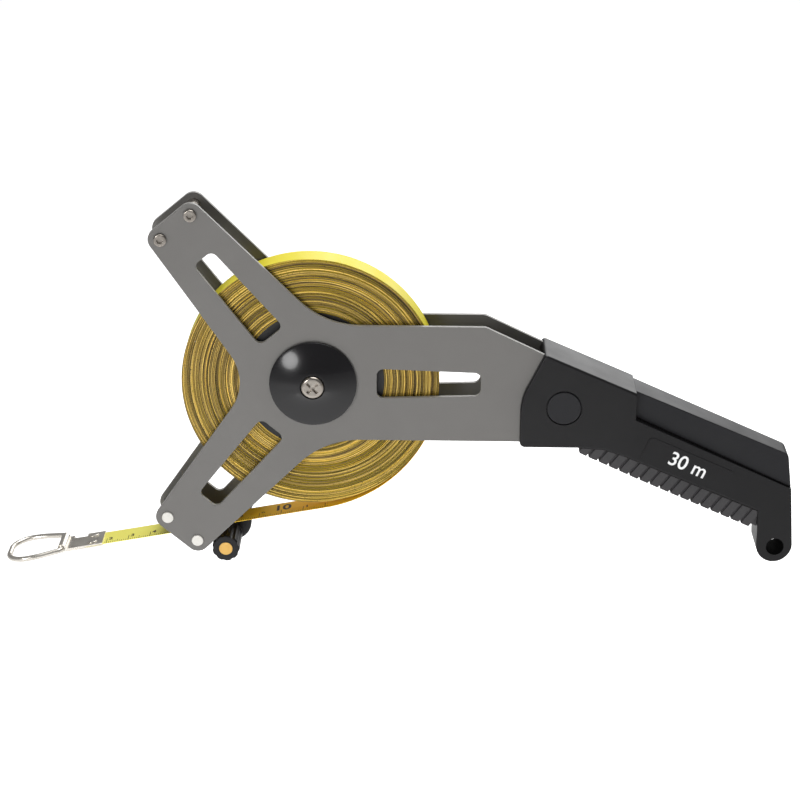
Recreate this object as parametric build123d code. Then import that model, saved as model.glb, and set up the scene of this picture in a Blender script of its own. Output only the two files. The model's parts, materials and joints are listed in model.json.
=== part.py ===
"""Open-frame steel tape reel: Y-shaped side plates, a wound tape on a hub, a folding crank and a grip.

The model is laid out about the hub axis (X towards the grip, Y away from the viewer, Z up, Y = 0
midway between the plates) and written out about the centre of the grip.
"""

from build123d import *
import os
from math import atan2, cos, hypot, radians, sin, sqrt

# ---------------------------------------------------------------- driving dimensions (mm)
TAPE_WIDTH = 13.0
TAPE_THICK = 0.25
PLATE_GAP = 15.5
PLATE_THICK = 2.0
ARM_ANGLE = 130.0            # free arms, either side of the arm that holds the grip
ARM_REACH = 90.9             # hub axis to the line of fasteners
FASTENER_HALF = 8.5          # fasteners either side of the arm's centre line
ARM_END_RADIUS = 5.3
ARM_ROOT_HALF = 22.5         # half width of a free arm, carried back to the hub axis
ARM_TAPER = 0.0949           # half width lost per mm of reach
GRIP_ARM_HALF = 26.3
GRIP_ARM_SHOULDER = 74.8     # where the arm that holds the grip starts to narrow
GRIP_ARM_END, GRIP_ARM_LOW_END = 128.0, 122.0
SLOT_START, SLOT_END = 27.7, 73.1
SLOT_HALF_IN, SLOT_HALF_OUT = 6.8, 5.3
SLOT_CORNER = 3.0
FASTENER_RADIUS = 2.0        # shanks of the arms' screws and roller pins
BUSHING_RADIUS, FLANGE_RADIUS, FLANGE_THICK = 8.0, 11.0, 0.7
ROLLER_RADIUS = 3.6

DRUM_RADIUS = 31.0
DRUM_BORE, DRUM_BOSS_RADIUS, DRUM_WEB_HALF = 26.0, 10.5, 2.0
PACK_RADIUS = 54.1
LOOSE_RADIUS = 56.4          # outermost turns, which have sprung away to the lower left
LOOSE_CENTRE = (-1.3, -1.2)
AXLE_RADIUS = 5.0
AXLE_END_RADIUS = 3.0        # threaded end that carries the crank nut
RUNNING = 0.05               # radial clearance of every running fit
AIR = 0.35                   # gap between faces that pass each other

TAPE_SLOPE = 10.6            # fall of the free tape below the horizontal
TAPE_TANGENT = 59.9          # hub axis to the free tape
RUN_END = 67.0               # distances along the free tape from the foot of the hub's normal; the
                             # clamp slides in to 68
TONGUE_START = 60.0
CLAMP_START, CLAMP_END = 108.0, 126.3
LAYER_GAP = 0.1
CLAMP_HALF, CLAMP_SHEET = 6.9, 0.6
RING_WIRE_RADIUS = 1.2

DOME_RADIUS = 19.0
DOME_HEIGHT = 5.9
DOME_EDGE = 1.1              # straight height of the dome's rim
CAP_SCREW_RADIUS, CAP_SCREW_HEAD = 2.2, 5.0
CRANK_ANGLE = 243.7
CRANK_REACH = 89.4           # hub axis to the knob's fold pin
KNUCKLE_RADIUS = 8.3
KNUCKLE_SET_IN = 3.8         # knuckle centre inwards of the fold pin
KNUCKLE_NEAR, KNUCKLE_FAR = 13.25, 19.25
CRANK_THICK, CRANK_HALF_WIDTH = 3.0, 4.5
FOLD_PIN_RADIUS, FOLD_PIN_HALF = 1.5, 6.2
SPINDLE_RADIUS = 3.0
STEM_HALF = 2.3
KNOB_RADIUS = 6.15
KNOB_START, KNOB_LENGTH = 5.4, 18.3

GRIP_WIDTH = 25.5            # collar, across the plates
GRIP_END_WIDTH = 16.0
GRIP_SLOPE = 23.4            # fall of the top of the grip
BACK_WIDTH, BACK_END_WIDTH = 17.5, 13.0
GRIP_END_X = 214.0           # where the closing sides reach the end width
STEP_X = 140.8               # front edge of the inset back
TOP_LEFT = (100.7, 15.0)     # corners of the grip seen from the side
BACK_LOW_LEFT = (STEP_X, -14.7)
BACK_LOW_RIGHT = (211.1, -47.9)
BACK_TOP_RIGHT = (209.2, -32.0)
COLLAR_HIGH, COLLAR_LOW = (90.4, -6.0), (90.4, -28.0)
STRIP_TOP = [(115.5, -28.0), (127.2, -28.7), (136.6, -31.7), (196.9, -58.4)]
LANYARD, LANYARD_RADIUS = (205.4, -75.6), 4.0
LUG_CENTRE, LUG_RADIUS = (205.0, -74.7), 8.0
BOLT, BOLT_RADIUS = (109.4, -9.4), 2.5
PIN, PIN_RADIUS, PIN_HALF = (122.0, -15.0), 2.0, 11.0
CAP_RADIUS, CAP_DEPTH = 7.4, 1.0
LABEL_CENTRE, LABEL_SIZE = (164.5, -36.0), (42.0, 11.0)
RIB_PITCH, RIB_WIDTH, RIB_COUNT = 5.05, 3.9, 17

GRIP_CENTRE = (160.0, 0.0, -27.0)   # origin of the finished part, in hub coordinates

HALF_GAP = PLATE_GAP / 2
HALF_OUT = HALF_GAP + PLATE_THICK


# ---------------------------------------------------------------- helpers
def slab(sketch, y_low, y_high):
    """Extrudes a sketch drawn in X and Z between two Y positions."""
    return extrude(Plane.XZ.offset(-y_high) * sketch, amount=y_high - y_low, dir=(0, -1, 0))


def rod(x, z, radius, y_low, y_high):
    """Cylinder along Y."""
    return slab(Pos(x, z) * Circle(radius), y_low, y_high)


def tube(x, z, outer, inner, y_low, y_high):
    """Hollow cylinder along Y."""
    return slab(Pos(x, z) * (Circle(outer) - Circle(inner)), y_low, y_high)


def on_arm(angle, reach, side=0.0):
    """Point at a reach along an arm and a distance to its clockwise side."""
    a = radians(angle)
    return (reach * cos(a) + side * sin(a), reach * sin(a) - side * cos(a))


def mirrored(points):
    """The same points below the X axis, in reverse order."""
    return [(x, -z) for x, z in reversed(points)]


def meet(p, q, r, s):
    """Point where the line through p and q meets the line through r and s."""
    ax, az, bx, bz = q[0] - p[0], q[1] - p[1], s[0] - r[0], s[1] - r[1]
    t = ((r[0] - p[0]) * bz - (r[1] - p[1]) * bx) / (ax * bz - az * bx)
    return (p[0] + t * ax, p[1] + t * az)


def round_corners(sketch, corners, radius):
    """Rounds the corners of a sketch that lie at the given points."""
    near = [v for v in sketch.vertices() if any(hypot(v.X - x, v.Y - z) < 0.01 for x, z in corners)]
    return fillet(near, radius)


def along_tape(distance, lift=0.0):
    """Point at a distance along the free tape and a lift from it towards the hub."""
    a = radians(TAPE_SLOPE)
    out = TAPE_TANGENT - lift
    return (out * sin(a) - distance * cos(a), -out * cos(a) - distance * sin(a))


def tape_box(start, end, low, high, y_low, y_high):
    """Box between two distances along the free tape and two lifts from it."""
    corners = [along_tape(start, low), along_tape(end, low), along_tape(end, high), along_tape(start, high)]
    return slab(Polygon(*corners, align=None), y_low, y_high)


# ---------------------------------------------------------------- places worked out from the dimensions
FASTENERS_UP = [on_arm(ARM_ANGLE, ARM_REACH, s) for s in (-FASTENER_HALF, FASTENER_HALF)]
FASTENERS_LOW = [(x, -z) for x, z in FASTENERS_UP]
FOLD_Y = (KNUCKLE_NEAR + KNUCKLE_FAR) / 2
FOLD = on_arm(CRANK_ANGLE, CRANK_REACH)
KNUCKLE = on_arm(CRANK_ANGLE, CRANK_REACH - KNUCKLE_SET_IN)


# ---------------------------------------------------------------- side plates
def arm_slot(angle):
    """Long slot that narrows towards the end of an arm."""
    corners = [(SLOT_START, SLOT_HALF_IN), (SLOT_END, SLOT_HALF_OUT)]
    outline = Polygon(*corners, *mirrored(corners), align=None)
    return Rot(0, 0, angle) * fillet(outline.vertices(), SLOT_CORNER)


def plate_outline():
    """Y-shaped plate with an arm towards the grip, three slots and its holes."""
    tip_reach = ARM_REACH + ARM_END_RADIUS
    tip_half = ARM_ROOT_HALF - ARM_TAPER * tip_reach
    tips = [on_arm(ARM_ANGLE, tip_reach, s) for s in (tip_half, -tip_half)]
    roots = [on_arm(ARM_ANGLE, 0, s) for s in (ARM_ROOT_HALF, -ARM_ROOT_HALF)]
    armpit = meet(tips[0], roots[0], (0, GRIP_ARM_HALF), (1, GRIP_ARM_HALF))
    notch = meet(tips[1], roots[1], (0, 0), (1, 0))
    shoulder = (GRIP_ARM_SHOULDER, GRIP_ARM_HALF)
    upper = [(GRIP_ARM_END, 1.0), shoulder, armpit, tips[0], tips[1]]
    lower = mirrored(upper[2:])
    end = [(GRIP_ARM_LOW_END, -GRIP_ARM_HALF), (GRIP_ARM_END, -22.0)]
    outline = Polygon(*upper, notch, *lower, *end, align=None)
    outline = round_corners(outline, tips + mirrored(tips), ARM_END_RADIUS)
    outline = round_corners(outline, [armpit] + mirrored([armpit]), 38.0)
    outline = round_corners(outline, [notch], 22.0)
    outline = round_corners(outline, [shoulder], 4.0)
    for angle in (0, ARM_ANGLE, -ARM_ANGLE):
        outline -= arm_slot(angle)
    outline -= Circle(BUSHING_RADIUS)
    for x, z in FASTENERS_UP + FASTENERS_LOW:
        outline -= Pos(x, z) * Circle(FASTENER_RADIUS)
    outline -= Pos(*BOLT) * Circle(BOLT_RADIUS)
    return outline - Pos(*PIN) * Circle(PIN_RADIUS)


def make_plates():
    """Front and rear plates, their bushings, and what joins the upper arms."""
    outline = plate_outline()
    sleeve_radius, head_radius, head_height, nut_radius, nut_height = 2.8, 2.75, 1.6, 3.3, 1.3
    sleeves, screws, nuts = [], [], []
    for x, z in FASTENERS_UP:
        sleeves.append(tube(x, z, sleeve_radius, FASTENER_RADIUS, -HALF_GAP, HALF_GAP))
        head = rod(x, z, head_radius, -HALF_OUT - head_height, -HALF_OUT)
        head = fillet(head.faces().sort_by(Axis.Y)[0].edges(), 0.5)
        socket = slab(Pos(x, z) * RegularPolygon(1.5, 6), -HALF_OUT - 2, -HALF_OUT - 0.4)
        shank = rod(x, z, FASTENER_RADIUS, -HALF_OUT, HALF_OUT + nut_height)
        screws.append(head + shank - socket)
        nut = RegularPolygon(nut_radius, 6) - Circle(FASTENER_RADIUS)
        nuts.append(slab(Pos(x, z) * nut, HALF_OUT, HALF_OUT + nut_height))
    return {
        "front_side_plate": slab(outline, -HALF_OUT, -HALF_GAP),
        "rear_side_plate": slab(outline, HALF_GAP, HALF_OUT),
        "front_bushing": bushing(-1),
        "rear_bushing": bushing(1),
        "spacer_sleeves": sleeves,
        "upper_screws": screws,
        "upper_nuts": nuts,
    }


def bushing(side):
    """Flanged bushing in a plate; side is -1 at the front and 1 at the rear."""
    bore = AXLE_RADIUS + RUNNING
    flange = sorted((side * (HALF_GAP - FLANGE_THICK), side * HALF_GAP))
    wall = sorted((side * HALF_GAP, side * HALF_OUT))
    return tube(0, 0, FLANGE_RADIUS, bore, *flange) + tube(0, 0, BUSHING_RADIUS, bore, *wall)


# ---------------------------------------------------------------- guide rollers
def make_rollers():
    """Two rollers on rivet pins at the end of the lower arms; the tape runs between them."""
    head_radius, head_height = 2.6, 0.9
    half = HALF_GAP - AIR
    pins, rollers = [], {}
    for name, (x, z) in zip(("outer_roller", "inner_roller"), FASTENERS_LOW):
        front = rod(x, z, head_radius, -HALF_OUT - head_height, -HALF_OUT)
        front = fillet(front.faces().sort_by(Axis.Y)[0].edges(), 0.3)
        rear = rod(x, z, head_radius, HALF_OUT, HALF_OUT + head_height)
        pins.append(rod(x, z, FASTENER_RADIUS, -HALF_OUT, HALF_OUT) + front + rear)
        rollers[name] = tube(x, z, ROLLER_RADIUS, FASTENER_RADIUS + RUNNING, -half, half)
    return {"roller_pins": pins, **rollers}


# ---------------------------------------------------------------- spool
def make_spool():
    """Hub drum, axle, wound tape, hub cap and its screw."""
    half = TAPE_WIDTH / 2
    boss_half = HALF_GAP - FLANGE_THICK - AIR
    drum = tube(0, 0, DRUM_RADIUS, DRUM_BORE, -half, half)
    drum += tube(0, 0, DRUM_BORE, AXLE_RADIUS, -DRUM_WEB_HALF, DRUM_WEB_HALF)
    drum += tube(0, 0, DRUM_BOSS_RADIUS, AXLE_RADIUS, -boss_half, boss_half)
    base = -HALF_OUT - AIR
    apex = base - DOME_HEIGHT
    rim = base - DOME_EDGE
    ball = (DOME_RADIUS ** 2 + (rim - apex) ** 2) / (2 * (rim - apex))
    part_way = (DOME_RADIUS / 2, apex + ball - sqrt(ball ** 2 - DOME_RADIUS ** 2 / 4))
    arc = ThreePointArc((0, apex), part_way, (DOME_RADIUS, rim))
    sides = Polyline((DOME_RADIUS, rim), (DOME_RADIUS, base), (0, base), (0, apex))
    cap = revolve(make_face(Curve() + [arc, sides]), Axis.Y)
    seat = apex + 2.2
    axle_tip = base - 2.2
    cap -= rod(0, 0, CAP_SCREW_HEAD + 0.4, apex - 1, seat)
    cap -= rod(0, 0, CAP_SCREW_RADIUS, seat, axle_tip)
    cap -= rod(0, 0, AXLE_RADIUS, axle_tip, base)
    crank_back = FOLD_Y + CRANK_THICK / 2
    nut_thick = 3.0
    axle = rod(0, 0, AXLE_RADIUS, axle_tip, crank_back)
    axle += rod(0, 0, AXLE_END_RADIUS, crank_back, crank_back + nut_thick + 0.4)
    axle -= rod(0, 0, CAP_SCREW_RADIUS, axle_tip, axle_tip + 9.0)
    head = fillet(rod(0, 0, CAP_SCREW_HEAD, seat - 2.9, seat).faces().sort_by(Axis.Y)[0].edges(), 1.3)
    screw = head + rod(0, 0, CAP_SCREW_RADIUS, seat, axle_tip + 8.0)
    for turn in (45, 135):
        screw -= slab(Rot(0, 0, turn) * Rectangle(6.2, 1.3), seat - 3.5, seat - 1.3)
    nut = slab(RegularPolygon(5.6, 6) - Circle(AXLE_END_RADIUS), crank_back, crank_back + nut_thick)
    return {
        "hub_drum": drum,
        "axle": axle,
        "tape_winding": tube(0, 0, PACK_RADIUS, DRUM_RADIUS, -half, half),
        "hub_cap": cap,
        "cap_screw": screw,
        "crank_nut": fillet(nut.faces().sort_by(Axis.Y)[-1].outer_wire().edges(), 0.4),
    }


# ---------------------------------------------------------------- crank and folding knob
def across_crank(start, end, half_width, y_low, y_high):
    """Box along the crank between two reaches."""
    block = Pos((start + end) / 2, 0) * Rectangle(end - start, 2 * half_width)
    return slab(Rot(0, 0, CRANK_ANGLE) * block, y_low, y_high)


def fold_rod(radius, half_length):
    """Cylinder on the fold axis, which is square to the crank and to Y."""
    a = radians(CRANK_ANGLE)
    axis = Plane(origin=(FOLD[0], FOLD_Y, FOLD[1]), z_dir=(-sin(a), 0, cos(a)))
    return extrude(axis * Circle(radius), half_length, both=True)


def make_crank():
    """Crank arm with its boss, and the knuckle that carries the fold pin."""
    strip_low, strip_high = FOLD_Y - CRANK_THICK / 2, FOLD_Y + CRANK_THICK / 2
    inner_end = CRANK_REACH - 5.0
    slot_half = STEM_HALF + 0.3
    arm = across_crank(0, inner_end, CRANK_HALF_WIDTH, strip_low, strip_high)
    arm += rod(0, 0, 8.5, HALF_OUT + AIR, strip_high)
    arm -= rod(0, 0, AXLE_RADIUS, HALF_OUT, strip_high + 1)
    knuckle = rod(*KNUCKLE, KNUCKLE_RADIUS, KNUCKLE_NEAR, KNUCKLE_FAR)
    knuckle = fillet(knuckle.edges(), 1.5)
    knuckle -= across_crank(0, inner_end, CRANK_HALF_WIDTH, strip_low, strip_high)
    slot = (CRANK_REACH - 3.6, CRANK_REACH + 9.0)
    knuckle -= across_crank(*slot, slot_half, KNUCKLE_NEAR - 1, KNUCKLE_FAR + 1)
    pin = fold_rod(FOLD_PIN_RADIUS, FOLD_PIN_HALF)
    return {"crank_arm": arm, "crank_knuckle": knuckle - pin, "fold_pin": pin}


def make_knob():
    """Hinged stem, brass spindle and fluted knob, folded in towards the front."""
    x, z = FOLD
    near = FOLD_Y - KNOB_START
    face = near - KNOB_LENGTH
    stem = fold_rod(3.2, STEM_HALF)
    stem += across_crank(CRANK_REACH - 3.0, CRANK_REACH + 3.0, STEM_HALF, near + 0.2, FOLD_Y)
    stem -= fold_rod(FOLD_PIN_RADIUS + RUNNING, STEM_HALF + 0.7)
    knob = rod(x, z, KNOB_RADIUS, face, near)
    knob = fillet(knob.edges(), 0.8)
    flutes, flute_radius, flute_end = 9, 1.7, 1.6
    for i in range(flutes):
        fx, fz = on_arm(360.0 / flutes * (i + 0.5), KNOB_RADIUS + 1.1)
        knob -= rod(x + fx, z + fz, flute_radius, face - 1, near - flute_end)
    knob -= rod(x, z, SPINDLE_RADIUS + RUNNING, face - 1, near + 1)
    spindle = rod(x, z, SPINDLE_RADIUS, face - 0.2, near + 0.2)
    return {"knob_stem": stem, "knob_spindle": spindle, "crank_knob": knob}


# ---------------------------------------------------------------- free tape and end ring
def make_tape():
    """Loose outer turns, the run from them past the rollers, and the end that slides."""
    half = TAPE_WIDTH / 2
    cx, cz = LOOSE_CENTRE
    loose = rod(cx, cz, LOOSE_RADIUS, -half, half) - rod(0, 0, PACK_RADIUS + 0.3, -half - 1, half + 1)
    leave = radians(TAPE_SLOPE - 90)
    settle = radians(-25.0)
    touch = LOOSE_RADIUS + TAPE_THICK / 2 + 0.02       # a hair clear of the loose turns
    offset = TAPE_TANGENT - (cx * cos(leave) + cz * sin(leave))
    share = cos(leave - settle)
    bend = (offset - touch * share) / (1 - share)       # radius of the gentle bend off the turns
    bx = cx - (bend - touch) * cos(settle)
    bz = cz - (bend - touch) * sin(settle)

    def edge(radius_change):
        """Three points on one face of the bend."""
        r = bend + radius_change
        return [(bx + r * cos(a), bz + r * sin(a)) for a in (settle, (settle + leave) / 2, leave)]

    outer, inner = edge(TAPE_THICK / 2), edge(-TAPE_THICK / 2)
    ends = [Line(outer[2], inner[2]), Line(inner[0], outer[0])]
    wrap = make_face(Curve() + [ThreePointArc(*outer), ThreePointArc(*reversed(inner)), *ends])
    foot = (bend * cos(leave) + bx, bend * sin(leave) + bz)
    origin = along_tape(0)
    slope = radians(TAPE_SLOPE)
    start = -(foot[0] - origin[0]) * cos(slope) - (foot[1] - origin[1]) * sin(slope)
    run = slab(wrap, -half, half) + tape_box(start, RUN_END, -TAPE_THICK / 2, TAPE_THICK / 2, -half, half)
    top = -TAPE_THICK / 2 - LAYER_GAP
    bottom = top - TAPE_THICK
    return {"tape_loose_turns": loose, "tape_run": run, **make_tape_end(bottom, top)}


def make_tape_end(bottom, top):
    """Sliding tape end, folded clamp with its curl, two rivets and the ring that swings in the curl."""
    half, sheet = CLAMP_HALF, CLAMP_SHEET
    notch = (CLAMP_START + 8.0, CLAMP_START + 14.2)
    tongue = tape_box(TONGUE_START, notch[0], bottom, top, -TAPE_WIDTH / 2, TAPE_WIDTH / 2)
    curl = along_tape(CLAMP_END, top + 0.9)
    upper = tape_box(CLAMP_START, CLAMP_END - 1.0, top, top + sheet, -half, half)
    lower = tape_box(CLAMP_START, CLAMP_END - 1.0, bottom - sheet, bottom, -half, half)
    web = tape_box(notch[0], CLAMP_END - 1.0, bottom, top, -half, half)
    clamp = upper + lower + web + rod(*curl, RING_WIRE_RADIUS + 0.8, -half, half)
    clamp -= tape_box(*notch, bottom - 1, top + 3, half - 2.9, half + 1)
    clamp -= rod(*curl, RING_WIRE_RADIUS + RUNNING, -half - 1, half + 1)
    slope = radians(TAPE_SLOPE)
    tilt = Plane(origin=(0, 0, 0), x_dir=(cos(slope), 0, sin(slope)), z_dir=(-sin(slope), 0, cos(slope)))
    rivets = []
    for y in (-3.7, 3.7):
        x, z = along_tape(CLAMP_START + 5.0, top)
        at = Plane(origin=(x, y, z), x_dir=tilt.x_dir, z_dir=tilt.z_dir)
        shank = extrude(at.offset(bottom - top - sheet) * Ellipse(1.6, 1.0), top - bottom + 2 * sheet)
        head = extrude(at.offset(sheet) * Ellipse(2.2, 1.5), 0.5)
        rivets.append(shank + chamfer(head.faces().sort_by(Axis.Z)[-1].edges(), 0.25))
        clamp -= shank
        tongue -= shank
    ring_plane = Plane(origin=(curl[0], 0, curl[1]), x_dir=-tilt.x_dir, z_dir=tilt.z_dir)
    corners = [(0, 8.4), (11.0, 11.6), (24.6, 12.4)]
    loop = FilletPolyline(*corners, *mirrored(corners), radius=(2.6, 20.0, 9.0, 9.0, 20.0, 2.6), close=True)
    path = ring_plane * loop
    section = Plane(origin=path @ 0, z_dir=path % 0) * Circle(RING_WIRE_RADIUS)
    ring = sweep(section, path=path)
    return {"tape_tongue": tongue, "end_clamp": clamp, "clamp_rivets": rivets, "end_ring": ring}


# ---------------------------------------------------------------- grip
def top_of_grip(x):
    """Height of the straight top line of the grip."""
    slope = (BACK_TOP_RIGHT[1] - TOP_LEFT[1]) / (BACK_TOP_RIGHT[0] - TOP_LEFT[0])
    return TOP_LEFT[1] + slope * (x - TOP_LEFT[0])


def tapered(outline, width, end_width):
    """Side outline extruded across the grip, with sides that close in beyond the step."""
    body = slab(outline, -width, width)
    side = [(80, -width / 2), (STEP_X, -width / 2), (GRIP_END_X, -end_width / 2)]
    plan = Polygon(*side, *mirrored(side), align=None)
    return body & extrude(Plane.XY.offset(-90) * plan, amount=120, dir=(0, 0, 1))


def make_grip():
    """Grip body, back, ribbed strip, caps, label, and the bolt and pin through the plates."""
    step_top = (STEP_X, top_of_grip(STEP_X))
    lug_right = (LUG_CENTRE[0] + LUG_RADIUS, LUG_CENTRE[1])
    lug_left = (LUG_CENTRE[0] - LUG_RADIUS, LUG_CENTRE[1])
    lug_low = (lug_right[0], LUG_CENTRE[1] - LUG_RADIUS)
    lug_low_left = (lug_left[0], LUG_CENTRE[1] - LUG_RADIUS)
    outline = Polygon(
        TOP_LEFT, step_top, BACK_LOW_LEFT, BACK_LOW_RIGHT, lug_right, lug_low, lug_low_left, lug_left,
        *reversed(STRIP_TOP), COLLAR_LOW, COLLAR_HIGH, align=None)
    outline = round_corners(outline, [lug_low, lug_low_left], LUG_RADIUS - 0.01)
    outline = round_corners(outline, [TOP_LEFT], 1.5)
    outline = round_corners(outline, [COLLAR_HIGH], 25.0)
    outline = round_corners(outline, [COLLAR_LOW], 2.5)
    body = tapered(outline, GRIP_WIDTH, GRIP_END_WIDTH)
    rim = body.edges().filter_by(lambda e: abs(abs(e.center().Y) - GRIP_WIDTH / 2) < 0.01)
    body = fillet([e for e in rim if e.length > 1 and e.center().X < STEP_X - 2], 1.0)
    for side in (-1, 1):
        body -= slab(plate_outline_in_grip(), *sorted((side * HALF_GAP, side * HALF_OUT)))
        recess = sorted((side * (GRIP_WIDTH / 2 - CAP_DEPTH), side * (GRIP_WIDTH / 2 + 1)))
        body -= rod(*BOLT, CAP_RADIUS + 0.5, *recess)
        body -= rod(*BOLT, 5.2, *sorted((side * HALF_OUT, side * (GRIP_WIDTH / 2))))
    body -= slab(Pos(90, 0) * Rectangle(18, 90), -HALF_GAP, HALF_GAP)
    body -= rod(*BOLT, BOLT_RADIUS, -HALF_GAP, HALF_GAP)
    body -= rod(*PIN, PIN_RADIUS, -PIN_HALF, PIN_HALF)
    body -= rod(*LANYARD, LANYARD_RADIUS, -15, 15)
    back = Polygon(step_top, BACK_TOP_RIGHT, BACK_LOW_RIGHT, BACK_LOW_LEFT, align=None)
    back = round_corners(back, [BACK_TOP_RIGHT], 3.5)
    caps = []
    bolt = rod(*BOLT, BOLT_RADIUS, -HALF_OUT - 0.1, HALF_OUT + 0.1)
    for side in (-1, 1):
        span = sorted((side * (GRIP_WIDTH / 2 - CAP_DEPTH), side * (GRIP_WIDTH / 2 + 0.1)))
        cap = rod(*BOLT, CAP_RADIUS, *span)
        caps.append(fillet(cap.edges().filter_by(lambda e: abs(e.center().Y) > GRIP_WIDTH / 2), 0.4))
        bolt += rod(*BOLT, 4.8, *sorted((side * HALF_OUT, side * (GRIP_WIDTH / 2 - CAP_DEPTH - 0.1))))
    return {
        "grip_body": body,
        "grip_back": tapered(back, BACK_WIDTH, BACK_END_WIDTH),
        "grip_strip": ribbed_strip(),
        "grip_caps": caps,
        "grip_bolt": bolt,
        "grip_pin": rod(*PIN, PIN_RADIUS, -PIN_HALF, PIN_HALF),
        "length_label": side_label(),
    }


def plate_outline_in_grip():
    """Part of the plate that reaches into the grip."""
    pocket = plate_outline() & (Pos(115, 0) * Rectangle(60, 90))
    return pocket + Pos(*BOLT) * Circle(BOLT_RADIUS) + Pos(*PIN) * Circle(PIN_RADIUS)


def ribbed_strip():
    """Strip under the grip: a core with slanting ribs at an even pitch."""
    low = [(196.9, -67.6), (117.0, -30.7)]
    full = Polygon(*STRIP_TOP, *low, align=None)
    core = Polygon(*STRIP_TOP, (196.9, -66.2), (118.5, -30.0), align=None)
    fall = atan2(low[0][1] - low[1][1], low[0][0] - low[1][0])
    bars = Sketch()
    for i in range(RIB_COUNT):
        step = 1.0 + RIB_PITCH * i
        x, z = low[1][0] + step * cos(fall), low[1][1] + step * sin(fall)
        bars += Pos(x, z) * Rot(0, 0, 52) * Rectangle(50, RIB_WIDTH)
    ribs = tapered(full & bars, GRIP_WIDTH - 1.4, GRIP_END_WIDTH - 0.6)
    return tapered(core, GRIP_WIDTH - 4.0, GRIP_END_WIDTH - 3.0) + ribs


def side_label():
    """Thin label on the front of the grip, square to the tapering side."""
    taper = atan2((GRIP_WIDTH - GRIP_END_WIDTH) / 2, GRIP_END_X - STEP_X)
    x, z = LABEL_CENTRE
    y = -GRIP_WIDTH / 2 + (x - STEP_X) * sin(taper) / cos(taper)
    fall = radians(-GRIP_SLOPE - 1.2)
    x_dir = (cos(fall) * cos(taper), cos(fall) * sin(taper), sin(fall))
    at = Plane(origin=(x, y, z), x_dir=x_dir, z_dir=(sin(taper), -cos(taper), 0))
    return extrude(at * RectangleRounded(*LABEL_SIZE, 2.0), 0.25)


# ---------------------------------------------------------------- write the parts
def main():
    """Makes every node about the hub, moves it to the finished part's origin and writes it."""
    os.makedirs("parts", exist_ok=True)
    nodes = {}
    for make in (make_plates, make_rollers, make_spool, make_crank, make_knob, make_tape, make_grip):
        nodes.update(make())
    shift = Pos(*(-c for c in GRIP_CENTRE))
    for name, shape in nodes.items():
        pieces = shape if isinstance(shape, list) else [shape]
        solids = [s for piece in pieces for s in piece.solids()]
        node = Compound(children=[Solid(s.wrapped) for s in solids], label=name)
        export_step(shift * node, f"parts/{name}.step")
        print(name, len(solids))


main()
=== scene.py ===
"""Looks of the open-frame steel tape reel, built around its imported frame.

Every sub-assembly is a class: its sizes are fields, and its build method makes the pieces and rides them on
their bodies. Lengths are metres in the frame's own axes: X towards the grip's end, Y through the plates to
the crank, Z up.
"""

import json
import logging
import math
import random
from dataclasses import dataclass, field
from enum import Enum

import bmesh
import bpy
from mathutils import Euler, Matrix, Vector

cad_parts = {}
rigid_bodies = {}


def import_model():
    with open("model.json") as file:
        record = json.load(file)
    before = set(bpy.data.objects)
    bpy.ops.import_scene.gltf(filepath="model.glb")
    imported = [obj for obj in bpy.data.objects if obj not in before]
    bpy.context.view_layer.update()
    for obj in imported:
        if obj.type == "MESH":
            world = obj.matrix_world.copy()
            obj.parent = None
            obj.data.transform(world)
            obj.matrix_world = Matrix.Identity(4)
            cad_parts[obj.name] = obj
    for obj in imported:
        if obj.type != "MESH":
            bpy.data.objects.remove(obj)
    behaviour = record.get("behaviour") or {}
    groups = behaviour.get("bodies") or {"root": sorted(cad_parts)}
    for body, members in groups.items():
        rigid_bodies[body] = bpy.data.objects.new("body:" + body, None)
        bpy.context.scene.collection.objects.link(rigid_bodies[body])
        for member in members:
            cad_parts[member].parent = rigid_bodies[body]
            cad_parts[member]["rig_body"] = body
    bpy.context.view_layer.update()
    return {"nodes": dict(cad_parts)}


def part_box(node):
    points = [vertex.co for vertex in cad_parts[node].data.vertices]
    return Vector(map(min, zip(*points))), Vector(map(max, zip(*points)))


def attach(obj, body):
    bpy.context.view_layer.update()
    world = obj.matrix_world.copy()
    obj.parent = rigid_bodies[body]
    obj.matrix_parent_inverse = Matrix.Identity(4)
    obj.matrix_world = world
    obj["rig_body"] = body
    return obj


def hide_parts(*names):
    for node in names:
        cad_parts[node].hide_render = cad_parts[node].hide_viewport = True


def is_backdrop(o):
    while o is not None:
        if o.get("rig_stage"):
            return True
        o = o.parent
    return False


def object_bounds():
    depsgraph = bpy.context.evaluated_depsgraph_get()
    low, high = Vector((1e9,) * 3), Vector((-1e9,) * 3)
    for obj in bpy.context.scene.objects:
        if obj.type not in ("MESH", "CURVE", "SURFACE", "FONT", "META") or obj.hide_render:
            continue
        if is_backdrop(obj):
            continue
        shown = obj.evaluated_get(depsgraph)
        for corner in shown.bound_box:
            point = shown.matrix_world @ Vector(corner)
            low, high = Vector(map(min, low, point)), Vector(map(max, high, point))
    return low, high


LOG = logging.getLogger("tape_reel")
MM = 0.001


# ------------------------------------------------------------------ shader helpers
class Effect(Enum):
    """Shared effects, each a node group of its own."""

    GRAIN = "moulded_grain"
    TURNS = "wound_turns"
    BRUSH = "brushed_streaks"


# Between these two values most of a noise lies.
NOISE_SPAN = (0.3, 0.7)
# How squarely a surface faces along Y where it is still flat, and where it is wholly a side wall with the
# painted highlight.
WALL_HIGHLIGHT_SPAN = (0.9, 0.4)
# Frequencies of the wound tape's noises: per metre of radius, and round the turn.
# The dark lines of the turn noise are painted shade for the gaps between turns.
TURN_LINES = (3100.0, 0.45)
TURN_DOTS = (1500.0, 95.0)
TURN_WEAR = (240.0, 5.0)


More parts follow.
